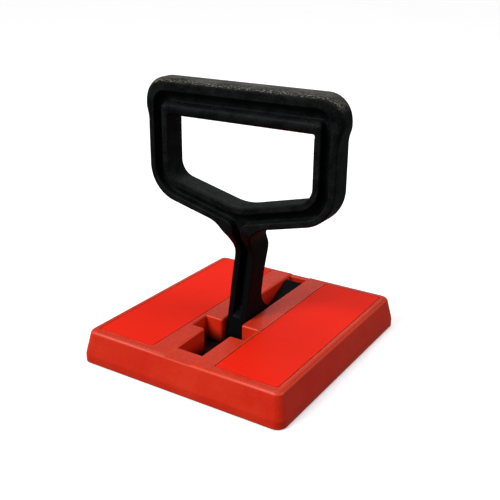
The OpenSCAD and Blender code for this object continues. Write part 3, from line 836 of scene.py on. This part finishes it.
def addUpper(shell):
    # the D and the leg down to the foot: front and rear sides, then the walls between them
    size = handleSize
    outer, groove, legCount = legAndBand()
    inner, window, upperCount = barPaths()
    outerNormal, grooveNormal = leftNormals(outer, False), leftNormals(groove, False)
    outerNormal[[0, -1]] = grooveNormal[[0, -1]] = [[-1, 0], [1, 0]]
    innerNormal, windowNormal = leftNormals(inner, True), leftNormals(window, True)
    start = legCount + arcSteps["flare"]  # the first point past the throat, where the groove faces the bar
    end = len(outer) - 1 - start
    barTop = size["top"] - size["gripHeight"] + size["gripFlange"]
    gripShare = smooth(barTop - size["gripRoundingOver"], barTop, inner[:, 1])
    barRadius = size["barRadius"] + size["gripRoundness"] * gripShare
    outRadius = np.interp(outer[:, 1], size["roundingHeights"], size["roundings"])
    walls = {}
    for rear in (False, True):
        grooveEnd = size["rearGrooveEnd"] if rear else size["frontGrooveEnd"]
        depth = size["grooveDepth"] * smooth(*grooveEnd, groove[:, 1])
        edges = zip(outer, outerNormal, groove, grooveNormal, outRadius, depth)
        flange = withDepth(np.array([frontFlange(*row) for row in edges]), rear)
        addGrid(shell, flange)
        floorEdge = flange[:, -1]
        addGrid(shell, np.stack([floorEdge[:start + 1], floorEdge[::-1][:start + 1]], 1))
        edges = zip(inner, innerNormal, window, windowNormal, barRadius)
        bar = withDepth(np.array([barRow(*row) for row in edges]), rear)
        addGrid(shell, bar, closeRows=True)
        addGrid(shell, np.stack([floorEdge[start:end + 1], bar[:upperCount, 0]], 1))
        addFace(shell, [floorEdge[start], floorEdge[end], *bar[upperCount - 1:, 0], bar[0, 0]])
        walls[rear] = (flange[:, 0], bar[:, -1])
    addGrid(shell, np.stack([walls[False][0], walls[True][0]], 1))
    addGrid(shell, np.stack([walls[False][1], walls[True][1]], 1), closeRows=True)


def addFoot(shell):
    # cuts that fan round from the leg to the foot, then run along the tail
    size = handleSize
    fan = np.array(size["fan"], float)
    cuts = [(fan, (math.cos(a), math.sin(a))) for a in np.linspace(math.pi, 1.5 * math.pi, size["fanCuts"])]
    tailEnd = sideOutline[:, 0].max() - size["tailGap"]
    tail = fan[0] + (tailEnd - fan[0]) * np.sin(np.linspace(0, math.pi / 2, size["tailCuts"]))
    cuts += [((y, fan[1]), (0, -1)) for y in tail[1:]]
    inward, side, edge = np.array([-1, 0]), np.array([size["legHalf"], 0]), np.array([size["grooveHalf"], 0])
    rings = []
    for origin, direction in cuts:
        near, far = cutOutline(origin, direction)
        ring = []
        halves = ((far, near, size["frontGrooveEnd"]), (near, far, size["rearGrooveEnd"]))
        for start, end, grooveEnd in halves:
            depth = size["grooveDepth"] * smooth(*grooveEnd, start[1]) * (start[0] < size["grooveEndY"])
            half = frontFlange(side, inward, edge, inward, size["roundings"][0], depth)
            points = [[x, *(start + unit(end - start) * d)] for x, _, d in half]
            flipped = [[-x, y, z] for x, y, z in points]
            ring += points + flipped[::-1] if start is far else flipped + points[::-1]
        rings.append(ring)
    addGrid(shell, np.array(rings), closeColumns=True)
    addFace(shell, rings[-1])


def makeBore():
    size = handleSize
    bore = newMesh("bore", [], [])
    bm = bmesh.new()
    bmesh.ops.create_cone(bm, cap_ends=True, segments=size["boreSides"], radius1=size["boreRadius"] * mm,
                          radius2=size["boreRadius"] * mm, depth=size["boreLength"] * mm)
    middle = Matrix.Translation((0, size["pivotY"] * mm, size["pivotZ"] * mm))
    bm.transform(middle @ Matrix.Rotation(math.pi / 2, 4, "Y"))
    bm.to_mesh(bore.data)
    bm.free()
    return bore


def makeHandle():
    shell = ([], [])
    addUpper(shell)
    addFoot(shell)
    piece = tidyMesh(newMesh("handleWork", *shell), handleSize["mergeDistance"])
    combine(piece, makeBore(), "DIFFERENCE")
    return shadeSmooth(piece, handleSize["sharpFrom"])


place(makeHandle(), "releaseHandle", "lever", "black_moulding", blackMoulding, "handle")
print("handle made")


# ---- pieces that keep their CAD shape
keptNodes = {
    "yoke_left": packSteel, "yoke_right": packSteel, "tray_left": trayPlastic, "tray_right": trayPlastic,
    "pivot_pin": groundSteel, "pin_cap_left": blackMoulding, "pin_cap_right": blackMoulding,
    "friction_washer_left": springSteel, "friction_washer_right": springSteel, "pivot_bush": bronze,
}
for side in ("left", "right"):
    for spot in ("front", "middle", "rear"):
        keptNodes[f"magnet_{side}_{spot}"] = ferrite
for node, material in keptNodes.items():
    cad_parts[node].data.materials.clear()
    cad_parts[node].data.materials.append(material)
print("CAD pieces finished")


# ---- floor, light and camera
stageLook = {"floorPale": 0.88, "floorVary": 0.02, "floorSpan": (0.3, 0.7), "floorScale": 3,
             "floorGlow": 0.45, "floorRough": 0.9, "floorHalf": 6, "floorDrop": 0.05,
             "skyLight": 0.14, "aim": (0, 0, 0.06),
             "sunFrom": (-0.5, -0.95, 0.92), "sunPower": 2.3, "sunSpread": 30}
studioLights = {
    "topLight": {"spot": (-0.15, 0.10, 1.20), "size": (0.8, 0.6), "power": 4.8},
    "rimLight": {"spot": (0.95, 0.35, 0.55), "size": (0.5, 0.6), "power": 2.6},
    "backLight": {"spot": (-0.45, 1.05, 0.75), "size": (0.6, 0.6), "power": 1.0},
}


def makeStage():
    look, half = stageLook, stageLook["floorHalf"]
    signs = ((-1, -1), (1, -1), (1, 1), (-1, 1))
    corners = [(x * half, y * half, -look["floorDrop"] * mm) for x, y in signs]
    floor = newMesh("paleFloor", corners, [(0, 1, 2, 3)])
    material, tree, shader, where = newMaterial(
        "paleFloorPaint", Roughness=look["floorRough"], Emission_Strength=look["floorGlow"])
    shader.inputs["Emission Color"].default_value = (1, 1, 1, 1)
    cloud = addNoise(tree, where, look["floorScale"], detail=2)
    tone = spanRamp(tree, cloud, look["floorSpan"], look["floorPale"], look["floorPale"] + look["floorVary"])
    tree.links.new(tone, shader.inputs["Base Color"])
    clear = addNode(tree, "ShaderNodeBsdfTransparent").outputs[0]
    under = addNode(tree, "ShaderNodeNewGeometry").outputs["Backfacing"]  # no floor in the way from below
    surface = addNode(tree, "ShaderNodeMixShader", {0: under, 1: shader.outputs[0], 2: clear}).outputs[0]
    tree.links.new(surface, tree.nodes["Material Output"].inputs["Surface"])
    floor.data.materials.append(material)
    floor.visible_diffuse = floor.visible_glossy = False  # it is only looked at, and doesn't light the object


def makeLights():
    sun = bpy.data.objects.new("keySun", bpy.data.lights.new("keySun", "SUN"))
    sun.data.energy, sun.data.angle = stageLook["sunPower"], math.radians(stageLook["sunSpread"])
    sun.location = stageLook["sunFrom"]
    sun.rotation_euler = (-sun.location).to_track_quat("-Z", "Y").to_euler()
    bpy.context.scene.collection.objects.link(sun)
    for name, light in studioLights.items():
        data = bpy.data.lights.new(name, "AREA")
        data.shape, (data.size, data.size_y), data.energy = "RECTANGLE", light["size"], light["power"]
        lamp = bpy.data.objects.new(name, data)
        lamp.location = light["spot"]
        lamp.rotation_euler = (Vector(stageLook["aim"]) - lamp.location).to_track_quat("-Z", "Y").to_euler()
        bpy.context.scene.collection.objects.link(lamp)
    world = bpy.data.worlds.new("studio")
    world.use_nodes = True
    tree = world.node_tree
    sky = tree.nodes["Background"]
    sky.inputs["Color"].default_value = (1, 1, 1, 1)
    seen = addNode(tree, "ShaderNodeLightPath").outputs["Is Camera Ray"]
    strength = addNode(tree, "ShaderNodeMapRange", {0: seen, 3: stageLook["skyLight"], 4: 1.0}).outputs[0]
    tree.links.new(strength, sky.inputs["Strength"])  # a white backdrop that lights the object only softly
    bpy.context.scene.world = world
    bpy.context.scene.view_settings.view_transform = "Standard"


cameraPlace = {"spot": (216.58, -342.55, 215.01), "turn": 32.05, "down": 21.12, "roll": 0.51,
               "lens": 54.87, "sensor": 36}


def makeCamera():
    turn, down, roll = (math.radians(cameraPlace[key]) for key in ("turn", "down", "roll"))
    data = bpy.data.cameras.new("studioCamera")
    data.sensor_width, data.lens = cameraPlace["sensor"], cameraPlace["lens"]
    camera = bpy.data.objects.new("studioCamera", data)
    camera.location = Vector(cameraPlace["spot"]) * mm
    level = math.cos(down)
    forward = Vector((-math.sin(turn) * level, math.cos(turn) * level, -math.sin(down)))
    straight = forward.to_track_quat("-Z", "Y").to_matrix()
    right, up = straight.col[0], straight.col[1]
    sideways = right * math.cos(roll) + up * math.sin(roll)
    leaned = (sideways, up * math.cos(roll) - right * math.sin(roll), -forward)
    camera.rotation_mode = "QUATERNION"
    camera.rotation_quaternion = Matrix(leaned).transposed().to_quaternion()
    bpy.context.scene.collection.objects.link(camera)
    bpy.context.scene.camera = camera


makeStage()
makeLights()
makeCamera()
